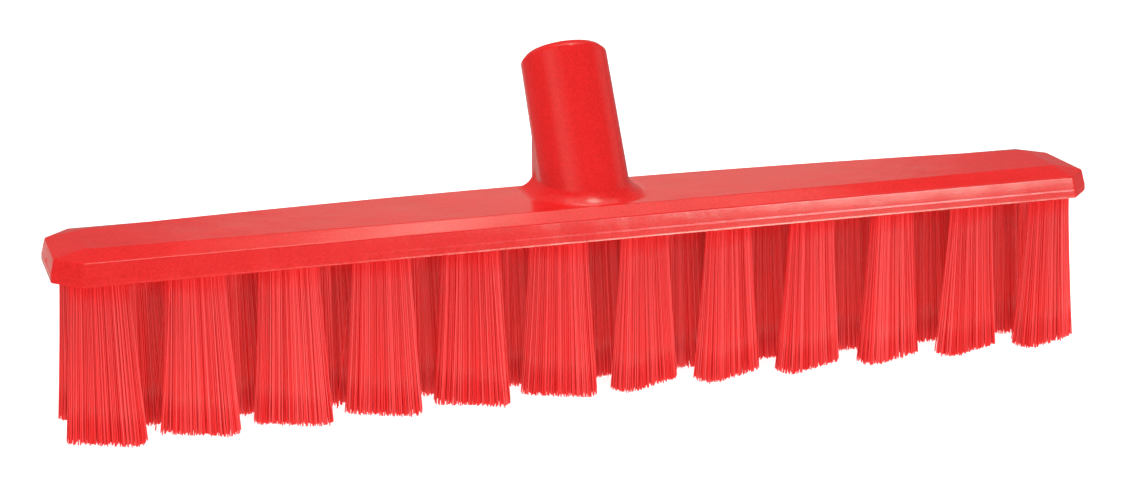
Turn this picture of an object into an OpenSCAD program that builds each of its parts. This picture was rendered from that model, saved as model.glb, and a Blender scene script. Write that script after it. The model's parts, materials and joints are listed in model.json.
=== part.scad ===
// Push-broom head: a moulded block with a leaning, threaded handle socket and three rows of flared bristle
// units. +X runs along the block, +Y to the back, where the socket leans, and +Z up. The origin is on the
// floor, under the middle of the block, where the bristle tips stand.

/* [Block] */
// Length of the block over its end faces
block_l = 410; // [340:1:610]
// Width of the block over its front and back faces
block_w = 50; // [46:0.5:70]
// Height of the upright front and back faces
side_h = 8.6; // [7.5:0.1:14]
// Height of the bevel between an upright face and the deck, at the block's ends
bevel_h = 2.4; // [1:0.1:6]
// Width of that bevel at the block's ends
bevel_end_w = 11.7; // [6:0.1:14]
// Width of that bevel at the block's middle
bevel_mid_w = 5.7; // [3:0.1:8]
// How much higher the deck is at the middle than at its ends
deck_rise = 0.9; // [0.2:0.1:4]
// Length of the slope between the deck and each end face
deck_end_slope = 13.3; // [8:0.1:30]
// Length of each plan chamfer along the block
corner_x = 9.4; // [4:0.1:14]
// Length of each plan chamfer across the block
corner_y = 9.7; // [4:0.1:14]
// How far the front and back faces lean in by their top edge
side_lean = 0.6; // [0.2:0.1:2]
// How far the end faces lean in by their top edge
end_lean = 1.4; // [0.2:0.1:4]
// Rounding where the upright faces turn into the bevel
edge_round = 2; // [0.5:0.1:3]
// Height of the lip below the mould's parting line
lip_h = 3; // [1.5:0.1:5]
// How far the lip stands out at the parting line
lip_out = 0.2; // [0.1:0.05:0.8]
// Width of the mould's gate mark, a dimple in the left end face
gate_d = 2.2; // [1:0.1:4]
// Depth of the gate mark
gate_depth = 0.7; // [0.3:0.1:1]

/* [Handle socket] */
// Lean of the socket to the back, from upright
socket_lean = 30.5; // [15:0.5:40]
// Length of the socket along its axis, from the deck to the rim
socket_l = 56.5; // [45:0.5:90]
// Wall of the socket outside the thread groove
socket_wall = 5.2; // [4.5:0.1:7]
// How far behind the block's middle the socket's axis crosses the deck
socket_back = 3.5; // [0:0.1:4]
// Rounding of the rim's outer edge
rim_round = 3; // [0.5:0.1:4]
// Diameter of the bore inside the thread groove
bore_d = 21; // [16:0.1:24]
// From the deck to the bottom of the bore, along the axis
bore_floor = 8.5; // [6:0.1:20]
// Lead-in chamfer at the mouth of the bore
mouth_chamfer = 1.2; // [0.4:0.1:2]
// Pitch of the thread groove
thread_pitch = 7; // [5:0.1:10]
// Depth of the thread groove
thread_depth = 1.1; // [0.5:0.1:1.8]
// Width of the thread groove at the bore's wall
thread_w = 1.6; // [0.8:0.1:2]
// Flare of the socket's foot where it runs into the deck
foot_flare = 5.5; // [1:0.1:8]
// Flare at the very front of the foot, close to the deck's edge
foot_front_flare = 1.6; // [0.5:0.1:3]
// From the block's back face to the upright gusset under the leaning socket
gusset_margin = 3; // [1:0.1:8]

/* [Bristles] */
// Length of the bristles below the block
bristle_l = 61; // [40:0.5:100]
// Units in the front row and in the back row; the middle row has one fewer
row_units = 12; // [8:1:16]
// From the block's end to the middle of the first unit
end_margin = 16.5; // [15:0.1:30]
// From the block's side to the middle of the outer rows
side_margin = 8.75; // [8:0.05:10]
// Turn of the outer rows' units, in a chevron on each half of the block
unit_turn = 24; // [0:1:30]
// Length of a unit at its root
root_l = 21.5; // [12:0.1:24]
// Width of a unit at its root
root_w = 5; // [4:0.1:6]
// Depth of a unit's root in the block
root_depth = 6; // [3:0.1:7]
// Gap along the block between the tips of neighbours in a row
tip_unit_gap = 6.8; // [4:0.1:12]
// Gap across the block between the tips of neighbouring rows
tip_row_gap = 1.6; // [0.8:0.1:4]
// Strand's size at its root, along the unit
strand_root_l = 2.1; // [0.8:0.1:2.2]
// Strand's size at its root, across the unit
strand_root_w = 1.3; // [0.8:0.1:1.4]
// Strand's size at its tip, along the unit
strand_tip_l = 3; // [0.8:0.1:3.1]
// Strand's size at its tip, across the unit
strand_tip_w = 3; // [0.8:0.1:3.1]
// Strands in the middle line of a unit; the lines beside it have one fewer
line_strands = 5; // [3:1:5]

/* [Fits] */
// Gap round a unit's root in its pocket
root_gap = 0.1; // [0.05:0.05:0.3]
// How far a strand's root stays inside the edge of its unit's root
root_inset = 0.35; // [0.2:0.05:0.5]
// How deep a strand runs into its unit's root
strand_embed = 1.5; // [0.5:0.1:3]

/* [Hidden] */
fine = 64;
// Steps along a long side, over its rounded edge, round the foot, up its flare and round a turn of thread
long_steps = 40;
edge_steps = 4;
foot_steps = 48;
flare_steps = 5;
turn_steps = 24;
// Solids that run into each other do so by this much, and cuts run past the faces by it
sink = 1;

// Block
underside = bristle_l;
deck_end_z = underside + side_h + bevel_h;
deck_top = deck_end_z + deck_rise;
deck_end_w = block_w - 2 * bevel_end_w;
deck_swell = 2 * (bevel_end_w - bevel_mid_w);
deck_corner = 1;

// Socket: it meets the deck in an ellipse, and its solids run down to a floor above the bristles' roots
bore_r = bore_d / 2;
bore_depth = socket_l - bore_floor;
socket_r = bore_r + thread_depth + socket_wall;
foot_reach = socket_r / cos(socket_lean);
socket_floor = underside + root_depth + sink;
gusset_reach = block_w / 2 - gusset_margin - socket_back;
// The flare's back ends on the deck, behind the socket but short of the deck's edge
flare_reach = block_w / 2 - bevel_mid_w - socket_back - deck_rise / 2;
// Squareness of the gusset's plan; it stays inside the tube's wall by a bite, and the flare's top by two
foot_curve = 14;
wall_bite = 0.5;
// The turned tube's seam lies at its back, away from the edges of the foot
seam_turn = 110;
groove_root_share = 0.55;

// Rows: the tips open until only the gaps are left between them
unit_pitch = (block_l - 2 * end_margin) / (row_units - 1);
row_y = block_w / 2 - side_margin;
tip_reach = unit_pitch - tip_unit_gap;
half_slope = tan(unit_turn) / 2;
tip_w = (row_y - tip_row_gap - half_slope * tip_reach) / (1 - half_slope);
tip_l = tip_w + (tip_reach - tip_w) / cos(unit_turn);

function unit_name(row, i) = str(row, "_tuft_", i < 10 ? "0" : "", i);

// Middle of a unit along the block, in an outer row and in the middle row, and an outer unit's turn
function outer_x(i) = (i - (row_units + 1) / 2) * unit_pitch;
function middle_x(i) = (i - row_units / 2) * unit_pitch;
function outer_turn(i) = outer_x(i) > 0 ? unit_turn : -unit_turn;

// A plan ring of the block: bowed long sides, cut corners, straight ends
function bow(x, half) = 1 - pow(x / half, 2);
function plan_ring(l, w, swell, cut_x, cut_y, z, rise) =
    let (half = l / 2 - cut_x, xs = [for (i = [0:long_steps]) half * (2 * i / long_steps - 1)])
    concat(
        [for (x = xs) [x, -(w + swell * bow(x, half)) / 2, z + rise * bow(x, half)]],
        [[l / 2, cut_y - w / 2, z], [l / 2, w / 2 - cut_y, z]],
        [for (x = xs) [-x, (w + swell * bow(x, half)) / 2, z + rise * bow(x, half)]],
        [[-l / 2, w / 2 - cut_y, z], [-l / 2, cut_y - w / 2, z]]
    );

// The upright faces stand inside the lip and lean in above it
function inset(lean, z) = lip_out + lean * max(z - lip_h, 0) / (side_h - lip_h);
function side_ring(z) =
    plan_ring(
        block_l - 2 * inset(end_lean, z), block_w - 2 * inset(side_lean, z), 0,
        corner_x, corner_y, underside + z, 0
    );
deck_ring = plan_ring(
    block_l - 2 * deck_end_slope, deck_end_w, deck_swell,
    deck_corner, deck_corner, deck_end_z, deck_rise
);

// The rounded edge between an upright face and the bevel that runs up to the deck
function toward(a, b, d) = a + (b - a) * d / norm(b - a);
function round_point(low, corner, high, t) = pow(1 - t, 2) * low + 2 * t * (1 - t) * corner + t * t * high;
function edge_ring(t) =
    let (low = side_ring(side_h - edge_round), corner = side_ring(side_h))
    [for (i = [0:len(low) - 1])
        round_point(low[i], corner[i], toward(corner[i], deck_ring[i], edge_round), t)];

// Side faces between rings of equal count, as triangles that look outwards
function ring_sides(rings, n) =
    [for (k = [0:rings - 2], i = [0:n - 1])
        let (a = k * n + i, b = k * n + (i + 1) % n, c = b + n, d = a + n)
        each [[a, d, c], [a, c, b]]];
function flat(lists) = [for (l = lists) each l];

// A lid over a plan ring, in strips across the block because the deck is bowed, and the same seen from below
function strip_lid(start) =
    let (n = long_steps, right = start + n + 1, back = right + 2, left = back + n + 1)
    concat(
        [for (i = [0:n - 1])
            let (f = start + i, b = back + n - i)
            each [[f, b, b - 1], [f, b - 1, f + 1]]],
        [[start, left + 1, left], [start, left, back + n]],
        [[start + n, back, right + 1], [start + n, right + 1, right]]
    );
function under_lid(start) = [for (t = strip_lid(start)) [t[0], t[2], t[1]]];

module block_shell() {
    rings = concat(
        [side_ring(sink)],
        [for (k = [0:edge_steps]) edge_ring(k / edge_steps)],
        [deck_ring]
    );
    n = len(deck_ring);
    top = (len(rings) - 1) * n;
    polyhedron(flat(rings), concat(ring_sides(len(rings), n), under_lid(0), strip_lid(top)));
}

module block_lip() {
    end = block_l / 2;
    side = block_w / 2;
    translate([0, 0, underside])
        linear_extrude(lip_h)
            polygon([
                [-end, corner_y - side], [corner_x - end, -side],
                [end - corner_x, -side], [end, corner_y - side],
                [end, side - corner_y], [end - corner_x, side],
                [corner_x - end, side], [-end, side - corner_y]
            ]);
}

// The gate mark is a round dimple, cut by a ball that dips into the left end face
module gate_mark() {
    z = side_h / 2;
    ball_r = (pow(gate_d / 2, 2) + pow(gate_depth, 2)) / (2 * gate_depth);
    translate([gate_depth - ball_r + inset(end_lean, z) - block_l / 2, 0, underside + z])
        sphere(ball_r, $fn = fine);
}

// The foot's outline at a height over the deck: in front the leaning socket's own ellipse, and behind it a
// squarer shape, as the gusset has that fills the corner under the socket
function squared(v) = sign(v) * pow(abs(v), 2 / foot_curve);
function front_point(t, half, reach, shift) = [half * cos(t), shift + reach * sin(t)];
function rear_point(t, half, reach, shift) =
    [half * squared(cos(t)), shift + (reach - shift) * squared(sin(t))];
function flare_point(t, side, front, h) =
    let (shift = h * tan(socket_lean), ahead = side + (front - side) * pow(sin(t), 2))
    sin(t) < 0
        ? front_point(t, socket_r + side, foot_reach + ahead, shift)
        : rear_point(t, socket_r + side, flare_reach, shift);
function flare_ring(side, front, h, z) =
    [for (i = [0:foot_steps - 1])
        let (p = flare_point(360 * i / foot_steps, side, front, h))
        [p[0], p[1] + socket_back, z]];

module socket_frame() {
    translate([0, socket_back, deck_top])
        rotate([-socket_lean, 0, 0])
            children();
}

module socket_tube() {
    intersection() {
        socket_frame()
            rotate([0, 0, seam_turn])
                rotate_extrude($fn = fine)
                    union() {
                        translate([0, -foot_reach])
                            square([socket_r, foot_reach + socket_l - rim_round]);
                        square([socket_r - rim_round, socket_l]);
                        translate([socket_r - rim_round, socket_l - rim_round])
                            circle(rim_round, $fn = fine);
                    }
        translate([-2 * socket_r, -2 * socket_r, socket_floor])
            cube([4 * socket_r, 4 * socket_r + socket_l, 2 * socket_r + socket_l]);
    }
}

module socket_gusset() {
    rear = [for (i = [0:foot_steps / 2])
        rear_point(360 * i / foot_steps, socket_r - wall_bite, gusset_reach, 0)];
    intersection() {
        translate([0, socket_back, socket_floor])
            linear_extrude(socket_l)
                polygon(rear);
        socket_frame()
            translate([-2 * socket_r, 0, -socket_l])
                cube([4 * socket_r, 4 * socket_r, 2 * socket_l]);
    }
}

// The flare lies on the deck and leaves it in a quarter round, narrower at the front
module socket_flare() {
    bite = 2 * wall_bite;
    side_span = foot_flare + bite;
    front_span = foot_front_flare + bite;
    low = [flare_ring(foot_flare, foot_front_flare, 0, socket_floor)];
    curve = [for (k = [0:flare_steps])
        let (a = 90 * k / flare_steps, out = 1 - sin(a), h = foot_flare * (1 - cos(a)))
        flare_ring(side_span * out - bite, front_span * out - bite, h, deck_top + h)];
    rings = concat(low, curve);
    n = foot_steps;
    top = (len(rings) - 1) * n;
    lids = [for (i = [1:n - 2]) each [[0, i, i + 1], [top, top + i + 1, top + i]]];
    polyhedron(flat(rings), concat(ring_sides(len(rings), n), lids));
}

module socket_bore() {
    mouth_r = bore_r + mouth_chamfer + sink;
    socket_frame() {
        translate([0, 0, bore_floor])
            cylinder(r = bore_r, h = bore_depth + sink, $fn = fine);
        translate([0, 0, socket_l - mouth_chamfer])
            cylinder(r1 = bore_r, r2 = mouth_r, h = mouth_chamfer + sink, $fn = fine);
    }
}

// The thread is one groove wound into the bore's wall, running out at the mouth
module thread_groove() {
    steps = ceil((bore_depth / thread_pitch + 1) * turn_steps);
    start = bore_floor + thread_w;
    half_out = thread_w / 2 * groove_root_share;
    half_in = thread_w / 2 + (thread_w / 2 - half_out) * sink / thread_depth;
    section = [
        [bore_r - sink, half_in], [bore_r + thread_depth, half_out],
        [bore_r + thread_depth, -half_out], [bore_r - sink, -half_in]
    ];
    points = [for (k = [0:steps], p = section)
        let (a = 360 * k / turn_steps)
        [p[0] * cos(a), p[0] * sin(a), start + thread_pitch * k / turn_steps + p[1]]];
    last = 4 * steps;
    ends = [[0, 1, 2], [0, 2, 3], [last, last + 2, last + 1], [last, last + 3, last + 2]];
    socket_frame()
        polyhedron(points, concat(ring_sides(steps + 1, 4), ends));
}

module stadium(l, w) {
    square([l - w, w], center = true);
    for (s = [-1, 1])
        translate([s * (l - w) / 2, 0])
            circle(d = w, $fn = fine);
}

module root_solid(grow, low) {
    translate([0, 0, underside - low])
        linear_extrude(root_depth + low)
            stadium(root_l + 2 * grow, root_w + 2 * grow);
}

module place_unit(x, y, turn) {
    translate([x, y, 0])
        rotate([0, 0, turn])
            children();
}

module unit_pockets() {
    for (i = [1:row_units], s = [-1, 1])
        place_unit(outer_x(i), s * row_y, -s * outer_turn(i))
            root_solid(root_gap, sink);
    for (i = [1:row_units - 1])
        place_unit(middle_x(i), 0, 0)
            root_solid(root_gap, sink);
}

module brush_block() {
    color([0.86, 0.06, 0.07])
        difference() {
            union() {
                block_shell();
                block_lip();
                socket_tube();
                socket_gusset();
                socket_flare();
            }
            gate_mark();
            socket_bore();
            thread_groove();
            unit_pockets();
        }
}

// One strand: a slender four-sided prism that runs out from its place in the root to its place at the tips
function strand_ring(middle, size, z) =
    [for (c = [[-1, -1], [1, -1], [1, 1], [-1, 1]])
        [middle[0] + c[0] * size[0] / 2, middle[1] + c[1] * size[1] / 2, z]];
module strand(root, tip) {
    low = strand_ring(tip, [strand_tip_l, strand_tip_w], 0);
    high = strand_ring(root, [strand_root_l, strand_root_w], underside + strand_embed);
    lids = [[0, 1, 2], [0, 2, 3], [4, 6, 5], [4, 7, 6]];
    polyhedron(concat(low, high), concat(ring_sides(2, 4), lids));
}

// Three lines of strands, spread evenly, opening from the root to the tips
module bristle_unit() {
    root_span = [root_l - 2 * root_inset - strand_root_l, root_w - 2 * root_inset - strand_root_w];
    tip_span = [tip_l - strand_tip_l, tip_w - strand_tip_w];
    color([0.92, 0.1, 0.1])
        union() {
            root_solid(0, 0);
            for (v = [-1, 0, 1]) {
                count = v == 0 ? line_strands : line_strands - 1;
                for (k = [0:count - 1]) {
                    u = (2 * k - count + 1) / (line_strands - 1);
                    strand([u * root_span[0], v * root_span[1]] / 2, [u * tip_span[0], v * tip_span[1]] / 2);
                }
            }
        }
}

module front_tuft(i) {
    place_unit(outer_x(i), -row_y, outer_turn(i))
        bristle_unit();
}

module middle_tuft(i) {
    place_unit(middle_x(i), 0, 0)
        bristle_unit();
}

module back_tuft(i) {
    place_unit(outer_x(i), row_y, -outer_turn(i))
        bristle_unit();
}

brush_block();
for (i = [1:row_units]) front_tuft(i);
for (i = [1:row_units - 1]) middle_tuft(i);
for (i = [1:row_units]) back_tuft(i);
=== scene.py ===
import json
import math

import bmesh
import bpy
from mathutils import Matrix, Vector


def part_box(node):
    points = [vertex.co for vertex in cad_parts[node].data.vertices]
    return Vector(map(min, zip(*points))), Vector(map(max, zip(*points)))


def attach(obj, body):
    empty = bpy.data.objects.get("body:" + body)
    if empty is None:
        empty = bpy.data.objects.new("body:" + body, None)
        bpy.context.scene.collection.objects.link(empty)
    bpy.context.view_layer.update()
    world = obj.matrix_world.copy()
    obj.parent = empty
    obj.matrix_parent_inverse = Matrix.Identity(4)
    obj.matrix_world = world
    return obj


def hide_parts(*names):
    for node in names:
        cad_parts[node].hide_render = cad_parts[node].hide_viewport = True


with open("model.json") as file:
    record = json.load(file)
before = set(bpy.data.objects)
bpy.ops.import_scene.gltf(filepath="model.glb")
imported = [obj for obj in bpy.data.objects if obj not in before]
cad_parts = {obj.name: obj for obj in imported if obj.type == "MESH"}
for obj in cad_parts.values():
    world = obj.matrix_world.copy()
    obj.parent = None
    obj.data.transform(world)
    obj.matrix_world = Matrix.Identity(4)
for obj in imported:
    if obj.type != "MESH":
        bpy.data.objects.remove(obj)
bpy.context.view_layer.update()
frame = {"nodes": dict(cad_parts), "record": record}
scene = bpy.context.scene
mm = 0.001
print("frame loaded:", len(frame["nodes"]), "nodes")


class Wire:  # a socket that Python expressions can work on
    def __init__(self, socket):
        self.socket = socket

    def outputs(self):  # every output of the node that this socket is on
        return {socket.name: Wire(socket) for socket in self.socket.node.outputs}

    def maths(self, operation, first, second):
        node = self.socket.id_data.nodes.new("ShaderNodeMath")
        node.operation = operation
        feed(node.inputs[0], first)
        feed(node.inputs[1], second)
        return Wire(node.outputs[0])

    def __add__(self, other):
        return self.maths("ADD", self, other)

    def __radd__(self, other):
        return self.maths("ADD", other, self)

    def __sub__(self, other):
        return self.maths("SUBTRACT", self, other)

    def __rsub__(self, other):
        return self.maths("SUBTRACT", other, self)

    def __mul__(self, other):
        return self.maths("MULTIPLY", self, other)

    def __rmul__(self, other):
        return self.maths("MULTIPLY", other, self)

    def __truediv__(self, other):
        return self.maths("DIVIDE", self, other)

    def __rtruediv__(self, other):
        return self.maths("DIVIDE", other, self)

    def __pow__(self, other):
        return self.maths("POWER", self, other)

    def __rpow__(self, other):
        return self.maths("POWER", other, self)

    def __lt__(self, other):
        return self.maths("LESS_THAN", self, other)

    def __gt__(self, other):
        return self.maths("GREATER_THAN", self, other)


def feed(socket, value):
    if isinstance(value, Wire):
        socket.id_data.links.new(value.socket, socket)
    else:
        socket.default_value = value


class Board:  # a node tree that nodes are put on, settings first, then sockets
    def __init__(self, tree):
        self.tree = tree

    def node(self, kind, settings=None, inputs=None, out=0):
        made = self.tree.nodes.new(kind)
        for name, value in (settings or {}).items():
            if name == "stops":
                self.setStops(made.color_ramp, value)
            else:
                setattr(made, name, value)
        for name, value in (inputs or {}).items():
            feed(made.inputs[name], value)
        return Wire(made.outputs[out]) if made.outputs else None

    def setStops(self, ramp, stops):
        while len(ramp.elements) < len(stops):
            ramp.elements.new(0.5)
        for element, (place, colour) in zip(ramp.elements, stops):
            element.position = place
            element.color = colour

    def mixColours(self, factor, first, second):  # the colour sockets of a Mix node have these numbers
        return self.node("ShaderNodeMix", {"data_type": "RGBA"}, {0: factor, 6: first, 7: second}, out=2)

    def splitVector(self, vector):
        parts = self.node("ShaderNodeSeparateXYZ", {}, {"Vector": vector}).outputs()
        return [parts[axis] for axis in "XYZ"]


def newMaterial(name):
    material = bpy.data.materials.new(name)
    material.use_nodes = True
    material.node_tree.nodes.clear()
    return material, Board(material.node_tree)


def finishSurface(board, sockets):
    surface = board.node("ShaderNodeBsdfPrincipled", {}, sockets)
    board.node("ShaderNodeOutputMaterial", {}, {"Surface": surface})


def addObject(name, data):
    made = bpy.data.objects.new(name, data)
    scene.collection.objects.link(made)
    return made


def meshObject(name, vertices, faces):
    mesh = bpy.data.meshes.new(name)
    mesh.from_pydata([tuple(v) for v in vertices], [], faces)
    shell = bmesh.new()
    shell.from_mesh(mesh)
    bmesh.ops.recalc_face_normals(shell, faces=shell.faces)
    shell.to_mesh(mesh)
    shell.free()
    return addObject(name, mesh)


def plainMesh(piece):  # what the modifiers make becomes the piece's own mesh
    bpy.context.view_layer.update()
    shown = piece.evaluated_get(bpy.context.evaluated_depsgraph_get())
    mesh = bpy.data.meshes.new_from_object(shown)
    piece.modifiers.clear()
    piece.data = mesh
    mesh.name = piece.name


# Camera, at the place that the block's corners in the photo give
cameraView = {
    "azimuth": -17.67,  # degrees round from the front, to the left where negative
    "elevation": 16.27,
    "roll": -0.12,
    "distance": 945 * mm,
    "aim": (-10.4 * mm, 0.0, 52.9 * mm),
    "focalPixels": 2469,
    "imageWidth": 1125,
    "sensorWidth": 36,
    "clipStart": 10 * mm,
}


def makeCamera(view):
    turn, lift, roll = (math.radians(view[k]) for k in ("azimuth", "elevation", "roll"))
    back = Vector((math.sin(turn) * math.cos(lift), -math.cos(turn) * math.cos(lift), math.sin(lift)))
    right = Vector((math.cos(turn), math.sin(turn), 0))
    axes = Matrix((right, back.cross(right), back)).transposed() @ Matrix.Rotation(roll, 3, "Z")
    data = bpy.data.cameras.new("photoCamera")
    data.sensor_width = view["sensorWidth"]
    data.lens = view["focalPixels"] * view["sensorWidth"] / view["imageWidth"]
    data.clip_start = view["clipStart"]
    camera = addObject("photoCamera", data)
    camera.matrix_world = Matrix.Translation(Vector(view["aim"]) + back * view["distance"]) @ axes.to_4x4()
    scene.camera = camera


makeCamera(cameraView)
print("camera set")

# Moulded block: rings from the underside to the deck, each corner of the section rounded
blockLow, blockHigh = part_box("brush_block")
blockSizes = {
    "length": blockHigh.x - blockLow.x,
    "width": -2 * blockLow.y,  # the socket leans out only at the back
    "underside": blockLow.z,
    "sideHeight": 8.6 * mm,
    "bevelHeight": 2.4 * mm,
    "bevelEndWidth": 11.7 * mm,
    "bevelMidWidth": 5.7 * mm,
    "deckRise": 0.9 * mm,
    "deckEndSlope": 13.3 * mm,
    "cornerAlong": 9.4 * mm,
    "cornerAcross": 9.7 * mm,
    "deckCorner": 1.2 * mm,
    "sideLean": 0.6 * mm,
    "endLean": 1.4 * mm,
    "lipHeight": 3.0 * mm,
    "lipOut": 0.2 * mm,
    "lipLean": 0.12 * mm,
    "partingTop": 3.45 * mm,  # a fine slope over the lip, along the parting line
    "bottomBand": 0.8 * mm,  # and one under it, along the bottom edge
    "bottomLean": 0.08 * mm,
    "faceBulge": 0.08 * mm,
    "planRound": 0.6 * mm,
    "deckPlanRound": 0.5 * mm,
    "bottomRound": 0.2 * mm,
    "bandRound": 0.15 * mm,
    "partingRound": 0.1 * mm,
    "faceRound": 2.0 * mm,
    "edgeRound": 0.5 * mm,
    "creaseRound": 0.4 * mm,
    "roundings": [  # of the section's corners from the underside up, each with its steps
        ("bottomRound", 3),
        ("bandRound", 2),
        ("partingRound", 2),
        ("partingRound", 2),
        ("faceRound", 6),
        ("edgeRound", 5),
        ("creaseRound", 4),
    ],
    "lidInset": 3.0 * mm,
    "longSteps": 60,
    "endSteps": 6,
    "planSteps": 4,
    "acrossSteps": 6,
}


def bezier(low, corner, high, t):
    return (1 - t) ** 2 * low + 2 * t * (1 - t) * corner + t * t * high


def roundedCorner(before, corner, after, reach, steps):
    low = corner + (before - corner).normalized() * reach
    high = corner + (after - corner).normalized() * reach
    return [bezier(low, corner, high, k / steps) for k in range(steps + 1)]


# A plan ring, from the front left round to the left end: bowed long sides, cut and rounded corners
def planRing(size, length, width, cut, rounding, height, swell=0.0, rise=0.0):
    half = length / 2 - cut[0]

    def bow(x):
        return max(1 - (x / half) ** 2, 0)

    def sidePoint(x, sign):
        return Vector((x, sign * (width + swell * bow(x)) / 2))

    xs = [half * (2 * i / size["longSteps"] - 1) for i in range(size["longSteps"] + 1)]
    ys = [(width / 2 - cut[1]) * (2 * i / size["endSteps"] - 1) for i in range(size["endSteps"] + 1)]
    runs = [
        [sidePoint(x, -1) for x in xs],
        [Vector((length / 2, y)) for y in ys],
        [sidePoint(-x, 1) for x in xs],
        [Vector((-length / 2, -y)) for y in ys],
    ]
    ring = []
    for k, run in enumerate(runs):
        last, following = runs[k - 1][-1], runs[(k + 1) % len(runs)][0]
        ring += roundedCorner(last, run[0], run[1], rounding, size["planSteps"])
        ring += run[1:-1]
        ring += roundedCorner(run[-2], run[-1], following, rounding, size["planSteps"])
    return [Vector((p.x, p.y, height + rise * bow(p.x))) for p in ring]


def blockRings(size):
    length, width, floor = size["length"], size["width"], size["underside"]
    cut = (size["cornerAlong"], size["cornerAcross"])
    lidCut = (size["deckCorner"], size["deckCorner"])
    deckLength = length - 2 * size["deckEndSlope"]
    deckWidth = width - 2 * size["bevelEndWidth"]
    swell = 2 * (size["bevelEndWidth"] - size["bevelMidWidth"])
    deckZ = floor + size["sideHeight"] + size["bevelHeight"]

    def ring(z, endInset, sideInset):
        return planRing(size, length - 2 * endInset, width - 2 * sideInset, cut, size["planRound"], floor + z)

    def face(z, out=0.0):  # the upright faces lean in above the lip
        share = (z - size["lipHeight"]) / (size["sideHeight"] - size["lipHeight"])
        inset = size["lipOut"] - out
        return ring(z, inset + size["endLean"] * share, inset + size["sideLean"] * share)

    def deck(inset):
        return planRing(size, deckLength - 2 * inset, deckWidth - 2 * inset, lidCut, size["deckPlanRound"],
                        deckZ, swell, size["deckRise"])

    lip, parting, top = size["lipHeight"], size["partingTop"], size["sideHeight"]
    corners = [
        ring(0, size["lidInset"], size["lidInset"]),
        ring(0, size["bottomLean"], size["bottomLean"]),
        ring(size["bottomBand"], 0, 0),
        ring(lip, size["lipLean"], size["lipLean"]),
        face(parting),
        face((parting + top) / 2, size["faceBulge"]),
        face(top),
        deck(0),
        deck(size["lidInset"]),
    ]
    rings = [corners[0]]
    for k, (name, steps) in enumerate(size["roundings"], start=1):
        arcs = [
            roundedCorner(low, corner, high, size[name], steps)
            for low, corner, high in zip(corners[k - 1], corners[k], corners[k + 1])
        ]
        rings += [[arc[j] for arc in arcs] for j in range(steps + 1)]
    return rings + [corners[-1]]


def ringFaces(count, rings):
    faces = []
    for k in range(rings - 1):
        for i in range(count):
            a, b = k * count + i, k * count + (i + 1) % count
            faces.append((a, b, b + count, a + count))
    return faces


def endCaps(count, rings):  # one face over the first ring and one over the last
    return [tuple(range(count))[::-1], tuple(range((rings - 1) * count, rings * count))]


def blockShell(size):
    rings = blockRings(size)
    count = len(rings[0])
    points = [p for ring in rings for p in ring]
    faces = ringFaces(count, len(rings))
    faces.append(tuple(range(count))[::-1])
    # the deck's lid, in columns across the block with a face at each end
    top = (len(rings) - 1) * count
    arc, longRun, endRun = size["planSteps"] + 1, size["longSteps"] - 1, size["endSteps"] - 1
    frontRun = [top + arc + i for i in range(longRun)]
    backStart = top + 5 * arc + longRun + endRun  # five corner arcs come before it
    backRun = [backStart + i for i in range(longRun)][::-1]
    columns = []
    for low, high in zip(frontRun, backRun):
        inner = []
        for j in range(1, size["acrossSteps"]):
            points.append(points[low].lerp(points[high], j / size["acrossSteps"]))
            inner.append(len(points) - 1)
        columns.append([low, *inner, high])
    for left, right in zip(columns, columns[1:]):
        for j in range(size["acrossSteps"]):
            faces.append((left[j], right[j], right[j + 1], left[j + 1]))
    rightEnd = tuple(range(frontRun[-1] + 1, backRun[-1]))
    leftEnd = tuple(range(backRun[0] + 1, top + count)) + tuple(range(top, frontRun[0]))
    faces.append(rightEnd + tuple(columns[-1][::-1]))
    faces.append(leftEnd + tuple(columns[0]))
    return meshObject("blockShell", points, faces)


# Handle socket: tube, gusset and flared foot round the mount's axis, and the threaded bore cut into them
handleMount = next(m for m in frame["record"]["mounts"] if m["name"] == "handle_socket")
socketSizes = {
    "axis": Vector(handleMount["axis"]),
    "boreRadius": handleMount["dims"]["r_mm"] * mm,
    "boreLength": handleMount["dims"]["length_mm"] * mm,
    "boreMiddle": Vector(handleMount["pos_m"]),
    "mouthChamfer": 1.2 * mm,
    "mouthOverrun": 0.7,  # of the chamfer, past the rim, so that no ring is level with it
    "threadDepth": 1.1 * mm,
    "threadWidth": 1.6 * mm,
    "threadRootShare": 0.55,
    "threadPitch": 7.0 * mm,
    "wall": 5.2 * mm,
    "draft": 0.5 * mm,  # the tube is wider at the deck by this much all round
    "rimSlope": 2.4 * mm,  # a flat slope round the rim, with its edges eased
    "rimEase": 0.8 * mm,
    "gussetMargin": 3.0 * mm,
    "gussetSquareness": 14,
    "footFlare": 7.0 * mm,
    "footFrontFlare": 1.6 * mm,
    "gussetBite": 0.1 * mm,
    "flareBite": 0.15 * mm,
    "rootDepth": 7.0 * mm,  # its solids end this far above the underside
    "aroundSteps": 128,
    "rimSteps": 4,
    "flareSteps": 10,
    "boreStep": 0.3 * mm,
}


# Where the axis crosses the deck, the length from there to the rim, and the axis' lean
def socketFrame(size, deckTop):
    axis = size["axis"]
    rim = size["boreMiddle"] + axis * (size["boreLength"] / 2 + size["mouthChamfer"])
    length = (rim.z - deckTop) / axis.z
    return rim - axis * length, length, math.atan2(axis.y, axis.z)


def tubeRadius(size):
    return size["boreRadius"] + size["threadDepth"] + size["wall"]


def spoke(angle, lean):  # a unit vector square to the socket's axis
    across = Vector((0, math.cos(lean), -math.sin(lean)))
    return Vector((math.cos(angle), 0, 0)) + across * math.sin(angle)


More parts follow.
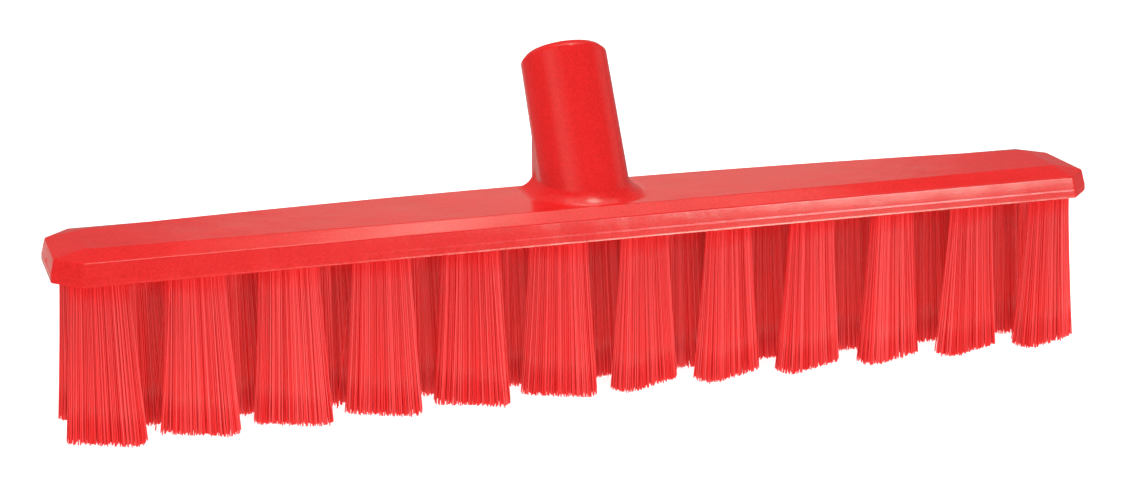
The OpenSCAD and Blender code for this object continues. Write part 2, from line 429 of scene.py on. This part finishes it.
def socketTube(size, foot, length, lean, floorZ):
    radius = tubeRadius(size)
    slope, ease, turns = size["rimSlope"], size["rimEase"], size["rimSteps"]
    wall, low, high = Vector((radius, 0)), Vector((radius, length - slope)), Vector((radius - slope, length))
    profile = roundedCorner(wall, low, high, ease, turns)
    profile += roundedCorner(low, high, Vector((0, length)), ease, turns)
    steps = size["aroundSteps"]
    angles = [2 * math.pi * i / steps for i in range(steps)]

    def wallPoint(angle, r, s):
        return foot + spoke(angle, lean) * r + size["axis"] * s

    points = []
    for angle in angles:  # the lowest ring is level
        atFoot = wallPoint(angle, radius + size["draft"], 0)
        points.append(atFoot + size["axis"] * ((floorZ - atFoot.z) / size["axis"].z))
    for r, s in profile:
        points += [wallPoint(angle, r, s) for angle in angles]
    rings = len(profile) + 1
    return meshObject("socketTube", points, ringFaces(steps, rings) + endCaps(steps, rings))


def squared(value, power):
    return math.copysign(abs(value) ** (2 / power), value)


def socketGusset(size, foot, lean, floorZ, reach):
    radius = tubeRadius(size) - size["gussetBite"]
    steps = size["aroundSteps"] // 2
    low, high = [], []
    for i in range(steps + 1):
        turn = math.pi * i / steps
        x = radius * squared(math.cos(turn), size["gussetSquareness"])
        y = reach * squared(math.sin(turn), size["gussetSquareness"])
        low.append(Vector((x, foot.y + y, floorZ)))
        high.append(Vector((x, foot.y + y, foot.z + y / math.tan(lean))))
    return meshObject("socketGusset", low + high, ringFaces(steps + 1, 2) + endCaps(steps + 1, 2))


def socketFlare(size, foot, lean, floorZ, reach):
    radius = tubeRadius(size)
    ahead = radius / math.cos(lean)
    bite, power, count = size["flareBite"], size["gussetSquareness"], size["aroundSteps"]

    def ring(side, front, height, z):
        shift = height * math.tan(lean)
        points = []
        for i in range(count):
            turn = 2 * math.pi * i / count
            c, s = math.cos(turn), math.sin(turn)
            if s < 0:
                draft = size["draft"] * s * s
                x = (radius + side + draft) * c
                y = shift + (ahead + side + draft + (front - side) * s * s) * s
            else:
                x = (radius + side) * squared(c, power)
                y = shift + (reach - shift) * squared(s, power)
            points.append(Vector((x, foot.y + y, z)))
        return points

    rings = [ring(size["footFlare"], size["footFrontFlare"], 0, floorZ)]
    for k in range(size["flareSteps"] + 1):
        turn = math.pi / 2 * k / size["flareSteps"]
        out, height = 1 - math.sin(turn), size["footFlare"] * (1 - math.cos(turn))
        side = (size["footFlare"] + bite) * out - bite
        front = (size["footFrontFlare"] + bite) * out - bite
        rings.append(ring(side, front, height, foot.z + height))
    faces = ringFaces(count, len(rings)) + endCaps(count, len(rings))
    return meshObject("socketFlare", [p for r in rings for p in r], faces)


def threadedBore(size, foot, length, lean):
    radius, chamfer, depth = size["boreRadius"], size["mouthChamfer"], size["threadDepth"]
    floor = length - chamfer - size["boreLength"]
    start = floor + size["threadWidth"]
    halfWall = size["threadWidth"] / 2
    halfRoot = halfWall * size["threadRootShare"]
    steps = size["aroundSteps"]
    run = length + size["mouthOverrun"] * chamfer - floor
    rows = round(run / size["boreStep"])

    def grooveDepth(s, share):
        turns = (s - start) / size["threadPitch"] - share
        nearest = round(turns)
        off = abs(turns - nearest) * size["threadPitch"]
        inside = min(max((halfWall - off) / (halfWall - halfRoot), 0), 1)
        return depth * inside if nearest >= 0 else 0

    points = []
    for k in range(rows + 1):
        s = floor + run * k / rows
        mouth = max(s - (length - chamfer), 0)
        for i in range(steps):
            r = radius + max(mouth, grooveDepth(s, i / steps))
            points.append(foot + spoke(2 * math.pi * i / steps, lean) * r + size["axis"] * s)
    return meshObject("threadedBore", points, ringFaces(steps, rows + 1) + endCaps(steps, rows + 1))


gateMark = {"radius": 1.21 * mm, "depth": 0.7 * mm, "segments": 32}


def gateBall(size, mark):  # the ball that dips into the left end face
    z = size["sideHeight"] / 2
    lean = size["endLean"] * (z - size["lipHeight"]) / (size["sideHeight"] - size["lipHeight"])
    x = size["lipOut"] + lean - size["length"] / 2 - mark["radius"] + mark["depth"]
    ball = bmesh.new()
    place = Matrix.Translation((x, 0, size["underside"] + z))
    bmesh.ops.create_uvsphere(ball, u_segments=mark["segments"], v_segments=mark["segments"] // 2,
                              radius=mark["radius"], matrix=place)
    mesh = bpy.data.meshes.new("gateBall")
    ball.to_mesh(mesh)
    ball.free()
    return addObject("gateBall", mesh)


blockShading = {"sharpAngle": math.radians(38), "mergeDistance": 0.002 * mm}


def makeBlock(size, socket, shading):
    deckTop = size["underside"] + size["sideHeight"] + size["bevelHeight"] + size["deckRise"]
    foot, length, lean = socketFrame(socket, deckTop)
    floorZ = size["underside"] + socket["rootDepth"]
    gussetReach = size["width"] / 2 - socket["gussetMargin"] - foot.y
    flareReach = size["width"] / 2 - size["bevelMidWidth"] - foot.y - size["deckRise"] / 2
    block = blockShell(size)
    block.name = "moulded_block"
    joined = [
        ("UNION", socketTube(socket, foot, length, lean, floorZ)),
        ("UNION", socketGusset(socket, foot, lean, floorZ, gussetReach)),
        ("UNION", socketFlare(socket, foot, lean, floorZ, flareReach)),
        ("DIFFERENCE", threadedBore(socket, foot, length, lean)),
        ("DIFFERENCE", gateBall(size, gateMark)),
    ]
    for operation, other in joined:
        step = block.modifiers.new(other.name, "BOOLEAN")
        step.operation = operation
        step.solver = "MANIFOLD"
        step.object = other
    plainMesh(block)
    for _, other in joined:
        bpy.data.objects.remove(other)
    shell = bmesh.new()
    shell.from_mesh(block.data)
    bmesh.ops.remove_doubles(shell, verts=shell.verts, dist=shading["mergeDistance"])
    for face in shell.faces:
        face.smooth = True
    for edge in shell.edges:
        edge.smooth = edge.calc_face_angle(0) < shading["sharpAngle"]
    openEdges = sum(not edge.is_manifold for edge in shell.edges)
    shell.to_mesh(block.data)
    shell.free()
    block.modifiers.new("weightedNormals", "WEIGHTED_NORMAL").keep_sharp = True
    plainMesh(block)
    print("block:", len(block.data.polygons), "faces,", openEdges, "open edges")
    return block


mouldedRed = {
    "colour": (0.43, 0.003, 0.003, 1),
    "paler": (0.79, 0.018, 0.018, 1),
    "cloudInColour": 0.3,  # the grain makes the rest
    "roughness": (0.16, 0.26),
    "cloudInRoughness": 0.6,
    "ior": 1.37,
    "grainScale": 1100,  # moulded skin, in waves a metre
    "grainDetail": 2,
    "grainHeight": 0.023 * mm,
    "cloudScale": 55,
    "cloudDetail": 3,
    "cloudHeight": 0.3 * mm,
}


def makeBlockFinish(look):
    material, board = newMaterial("mouldedRed")
    place = board.node("ShaderNodeTexCoord", out="Object")

    def noise(name):
        return board.node("ShaderNodeTexNoise", {}, {
            "Vector": place, "Scale": look[name + "Scale"], "Detail": look[name + "Detail"]})

    def bump(height, name, sockets):
        return board.node("ShaderNodeBump", {}, {
            "Height": height, "Distance": look[name + "Height"], "Strength": 1, **sockets})

    cloud, grain = noise("cloud"), noise("grain")

    def blend(cloudShare):
        return cloudShare * cloud + (1 - cloudShare) * grain

    low, high = look["roughness"]
    finishSurface(board, {
        "Base Color": board.mixColours(blend(look["cloudInColour"]), look["colour"], look["paler"]),
        "Roughness": low + (high - low) * blend(look["cloudInRoughness"]),
        "IOR": look["ior"],
        "Normal": bump(grain, "grain", {"Normal": bump(cloud, "cloud", {})}),
    })
    return material


block = makeBlock(blockSizes, socketSizes, blockShading)
block.data.materials.clear()
block.data.materials.append(makeBlockFinish(mouldedRed))
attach(block, "root")
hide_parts("brush_block")

# Bristle units: filaments that leave the block close together and open towards the floor
bristleUnit = {
    "Root Length": 21.5 * mm,
    "Root Width": 5.0 * mm,
    "Tip Length": 29.0 * mm,
    "Tip Width": 11.0 * mm,
    "Bristle Length": blockLow.z,
    "Root Sink": 2.0 * mm,
    "Filament Width": 0.48 * mm,
    "Filament Gap": 0.35 * mm,
    "Tip Ragged": 1.3 * mm,
    "Tip Scatter": 0.32 * mm,
    "Bend": 0.25,
    "Stray Share": 0.025,
    "Stray Splay": 0.22,
    "Seed": 1,
}
bristleBuild = {
    "unitTurn": math.radians(24),
    "rowTurns": {"front": 1, "middle": 0, "back": -1},  # mirrored at the middle of each row
    "rootRound": 0.49,  # of the root's width
    "rootRoundSteps": 8,
    "rootDensity": 3e7,  # roots tried, a square metre
    "filamentSides": 5,
    "filamentSegments": 4,
    "seedStep": 100,
}
filamentMap = {  # tone across and length along, so that one map serves every filament
    "name": "OFBake",
    "margin": 0.01,
    "toneSpan": 0.97,
    "toneWidth": 0.01,
    "lengthSpan": 0.96,
    "lengthWidth": 0.02,
}


def makeBristleTree(sizes, build, strip):
    tree = bpy.data.node_groups.new("bristleUnit", "GeometryNodeTree")
    for name in sizes:
        kind = "NodeSocketInt" if name == "Seed" else "NodeSocketFloat"
        tree.interface.new_socket(name=name, in_out="INPUT", socket_type=kind)
    tree.interface.new_socket(name="Finish", in_out="INPUT", socket_type="NodeSocketMaterial")
    tree.interface.new_socket(name="Bristles", in_out="OUTPUT", socket_type="NodeSocketGeometry")
    board = Board(tree)
    size = board.node("NodeGroupInput").outputs()

    def chance(number):
        return board.node("FunctionNodeRandomValue", {"data_type": "FLOAT"},
                          {"Seed": build["seedStep"] * size["Seed"] + number}, out=1)

    def store(geometry, name, kind, domain, value):
        return board.node("GeometryNodeStoreNamedAttribute", {"data_type": kind, "domain": domain},
                          {"Geometry": geometry, "Name": name, "Value": value})

    def stored(name, kind):
        return board.node("GeometryNodeInputNamedAttribute", {"data_type": kind}, {"Name": name})

    def vector(x, y, z):
        return board.node("ShaderNodeCombineXYZ", {}, {"X": x, "Y": y, "Z": z})

    # roots scattered evenly over a round-ended slot
    slot = board.node("GeometryNodeCurvePrimitiveQuadrilateral", {"mode": "RECTANGLE"},
                      {"Width": size["Root Length"], "Height": size["Root Width"]})
    rounding = size["Root Width"] * build["rootRound"]
    rounded = board.node("GeometryNodeFilletCurve", {"mode": "POLY"},
                         {"Curve": slot, "Count": build["rootRoundSteps"], "Radius": rounding})
    rootFace = board.node("GeometryNodeFillCurve", {"mode": "NGONS"}, {"Curve": rounded})
    roots = board.node("GeometryNodeDistributePointsOnFaces", {"distribute_method": "POISSON"}, {
        "Mesh": rootFace, "Distance Min": size["Filament Gap"], "Density Max": build["rootDensity"],
        "Seed": size["Seed"]})

    # how far each tip lies from its root, with a few strays
    x, y, _ = board.splitVector(board.node("GeometryNodeInputPosition"))
    splay = 1 + (chance(1) < size["Stray Share"]) * size["Stray Splay"] * chance(2)
    scatterX = size["Tip Scatter"] * (2 * chance(3) - 1)
    scatterY = size["Tip Scatter"] * (2 * chance(4) - 1)
    spreadX = x * (size["Tip Length"] / size["Root Length"] * splay - 1) + scatterX
    spreadY = y * (size["Tip Width"] / size["Root Width"] * splay - 1) + scatterY
    roots = store(roots, "spread", "FLOAT_VECTOR", "POINT", vector(spreadX, spreadY, 0.0))
    roots = store(roots, "tone", "FLOAT", "POINT", chance(5))
    roots = store(roots, "short", "FLOAT", "POINT", size["Tip Ragged"] * chance(6) ** 2)

    # one filament, a unit long, that keeps its own coordinates; its cut ends stay flat
    radius = size["Filament Width"] / 2
    filament = board.node("GeometryNodeMeshCylinder", {"fill_type": "NGON"}, {
        "Vertices": build["filamentSides"], "Side Segments": build["filamentSegments"],
        "Radius": radius, "Depth": 1.0})
    filament = board.node("GeometryNodeSetShadeSmooth", {}, {
        "Geometry": filament, "Selection": filament.outputs()["Side"], "Shade Smooth": True})
    filament = store(filament, "own", "FLOAT_VECTOR", "POINT", board.node("GeometryNodeInputPosition"))
    spun = vector(0.0, 0.0, 2 * math.pi * chance(7))
    bristles = board.node("GeometryNodeInstanceOnPoints", {},
                          {"Points": roots, "Instance": filament, "Rotation": spun})
    bristles = board.node("GeometryNodeRealizeInstances", {}, {"Geometry": bristles})

    # drawn out to length and bent towards the tip
    ownX, ownY, ownZ = board.splitVector(stored("own", "FLOAT_VECTOR"))
    along = 0.5 - ownZ
    lean = along * (1 - size["Bend"]) + along * along * size["Bend"]
    spread = board.splitVector(stored("spread", "FLOAT_VECTOR"))
    x, y, _ = board.splitVector(board.node("GeometryNodeInputPosition"))
    top = size["Bristle Length"] + size["Root Sink"]
    z = top - along * (top - stored("short", "FLOAT"))
    bristles = board.node("GeometryNodeSetPosition", {}, {
        "Geometry": bristles, "Position": vector(x + spread[0] * lean, y + spread[1] * lean, z)})

    # each filament is a thin strip of the map, across it by its tone
    u = strip["margin"] + strip["toneSpan"] * stored("tone", "FLOAT")
    v = strip["margin"] + strip["lengthSpan"] * along
    u = u + strip["toneWidth"] * (1 + ownY / radius) / 2
    v = v + strip["lengthWidth"] * (1 + ownX / radius) / 2
    bristles = store(bristles, strip["name"], "FLOAT2", "CORNER", vector(u, v, 0.0))
    bristles = board.node("GeometryNodeSetMaterial", {}, {"Geometry": bristles, "Material": size["Finish"]})
    board.node("NodeGroupOutput", {}, {"Bristles": bristles})
    return tree


bristleRed = {  # tones from the darkest filament to the palest, at the roots and at the tips; the roots are darker as painted shade under the block, the tips paler partly for their own cut ends and partly as painted light, and the pinker palest tones are partly painted highlights on single filaments
    "shadedRootTones": [
        (0.0, (0.56, 0.006, 0.008, 1)),
        (0.5, (0.68, 0.014, 0.016, 1)),
        (1.0, (0.80, 0.045, 0.046, 1)),
    ],
    "litTipTones": [
        (0.0, (0.78, 0.009, 0.010, 1)),
        (0.5, (0.90, 0.030, 0.031, 1)),
        (1.0, (0.97, 0.10, 0.10, 1)),
    ],
    "roughness": 0.38,
    "ior": 1.45,
}


def makeBristleFinish(look, strip):
    material, board = newMaterial("bristleRed")
    tone, along, _ = board.splitVector(board.node("ShaderNodeUVMap", {"uv_map": strip["name"]}))
    shadedRoot = board.node("ShaderNodeValToRGB", {"stops": look["shadedRootTones"]}, {"Fac": tone})
    litTip = board.node("ShaderNodeValToRGB", {"stops": look["litTipTones"]}, {"Fac": tone})
    finishSurface(board, {
        # mixed along each filament: painted shade at the roots, partly painted light towards the tips
        "Base Color": board.mixColours(along, shadedRoot, litTip),
        "Roughness": look["roughness"],
        "IOR": look["ior"],
    })
    return material


def makeTuft(tree, node, seed, finish):
    low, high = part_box(node)
    middle = (low + high) / 2
    turn = bristleBuild["rowTurns"][node.split("_")[0]] * bristleBuild["unitTurn"]
    piece = addObject("bristles_" + node, bpy.data.meshes.new(node))
    grow = piece.modifiers.new("bristles", "NODES")
    grow.node_group = tree
    values = dict(bristleUnit, Seed=seed, Finish=finish)
    for item in tree.interface.items_tree:
        if item.in_out == "INPUT":
            grow[item.identifier] = values[item.name]
    plainMesh(piece)
    turned = Matrix.Rotation(math.copysign(1, middle.x) * turn, 4, "Z")
    piece.data.transform(Matrix.Translation((middle.x, middle.y, 0)) @ turned)
    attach(piece, "root")
    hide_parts(node)
    return len(piece.data.polygons)


def makeBristles():
    tree = makeBristleTree(bristleUnit, bristleBuild, filamentMap)
    finish = makeBristleFinish(bristleRed, filamentMap)
    tufts = sorted(name for name in frame["nodes"] if "_tuft_" in name)
    faces = sum(makeTuft(tree, node, seed, finish) for seed, node in enumerate(tufts, start=1))
    print("bristles:", len(tufts), "units,", faces, "faces")


makeBristles()

# Pale floor and soft light
studio = {
    "floorSize": 30.0,
    "floorColour": (0.95, 0.95, 0.95, 1),
    "floorGlow": 0.2,
    "floorRoughness": (0.85, 0.95),
    "speckleScale": 60,
    "speckleDetail": 2,
    "skyColour": (1, 0.97, 0.92, 1),
    "skyStrength": 0.25,
    "key": ((0.42, -0.91, 0.14), 7, 0.95),  # where it shines from, degrees across the sky, strength
    "fills": {  # for the body colour only
        "topFill": ((0.12, 0.0, 1.0), 54, 0.9),
        "backFill": ((-0.2, 0.38, 0.90), 40, 2.33),
        "leftFill": ((-0.55, -0.8, 0.25), 80, 0.93),
        "sideFill": ((-1.0, -0.1, 0.35), 60, 0.55),
        "rightFill": ((0.8, -0.6, 0.25), 80, 0.45),
    },
    "glintColour": (0.55, 0.98, 0.84),
    "glints": {  # for the gloss only
        "topGlow": ((0.12, 0.0, 1.0), 54, 1.1),
        "backGlow": ((0.29, 0.93, 0.18), 19, 0.036),
        "tubeGlow": ((-0.74, -0.41, 0.53), 48, 0.30),
        "tubeGlint": ((-0.77, -0.37, 0.52), 24, 0.08),
        "tubeRim": ((0.96, 0.11, 0.25), 30, 0.08),
        "bevelGlint": ((0.18, 0.23, 0.957), 13, 0.26),
        "bevelEndGlint": ((0.13, 0.48, 0.867), 20, 0.08),
        "faceGlint": ((0.42, -0.91, -0.02), 8, 0.31),
        "edgeGlint": ((0.14, -0.28, 0.95), 16, 0.8),
        "endGlint": ((-0.17, 0.955, -0.235), 12, 0.016),
        "lipGlint": ((0.42, -0.91, -0.30), 10, 0.24),
        "bottomGlint": ((0.42, -0.91, -0.54), 12, 1.1),
    },
}


def placeSun(name, sun):
    place, across, strength = sun
    holder = addObject(name, bpy.data.lights.new(name, "SUN"))
    holder.location = place
    holder.rotation_euler = (-Vector(place)).to_track_quat("-Z", "Y").to_euler()
    holder.data.angle = math.radians(across)
    holder.data.energy = strength
    return holder


def makeFloor(look):
    half = look["floorSize"] / 2
    corners = [(-half, -half, 0), (half, -half, 0), (half, half, 0), (-half, half, 0)]
    floor = meshObject("floor", corners, [(0, 1, 2, 3)])
    material, board = newMaterial("paleFloor")
    place = board.node("ShaderNodeTexCoord", out="Object")
    speckle = board.node("ShaderNodeTexNoise", {}, {
        "Vector": place, "Scale": look["speckleScale"], "Detail": look["speckleDetail"]})
    low, high = look["floorRoughness"]
    finishSurface(board, {
        "Base Color": look["floorColour"],
        "Roughness": low + (high - low) * speckle,
        "Emission Color": look["floorColour"],
        "Emission Strength": look["floorGlow"],
    })
    floor.data.materials.append(material)
    floor.visible_glossy = False  # or it would whiten every rim


def makeLights(look):
    world = bpy.data.worlds.new("studio")
    world.use_nodes = True
    sky = world.node_tree.nodes["Background"]
    sky.inputs["Color"].default_value = look["skyColour"]
    sky.inputs["Strength"].default_value = look["skyStrength"]
    scene.world = world
    placeSun("keySun", look["key"])
    for name, sun in look["fills"].items():
        holder = placeSun(name, sun)
        holder.data.use_shadow = False
        holder.visible_glossy = False
    for name, sun in look["glints"].items():
        holder = placeSun(name, sun)
        holder.data.use_shadow = False
        holder.visible_diffuse = False
        holder.data.color = look["glintColour"]
    scene.view_settings.view_transform = "Standard"


makeFloor(studio)
makeLights(studio)
print("studio set")
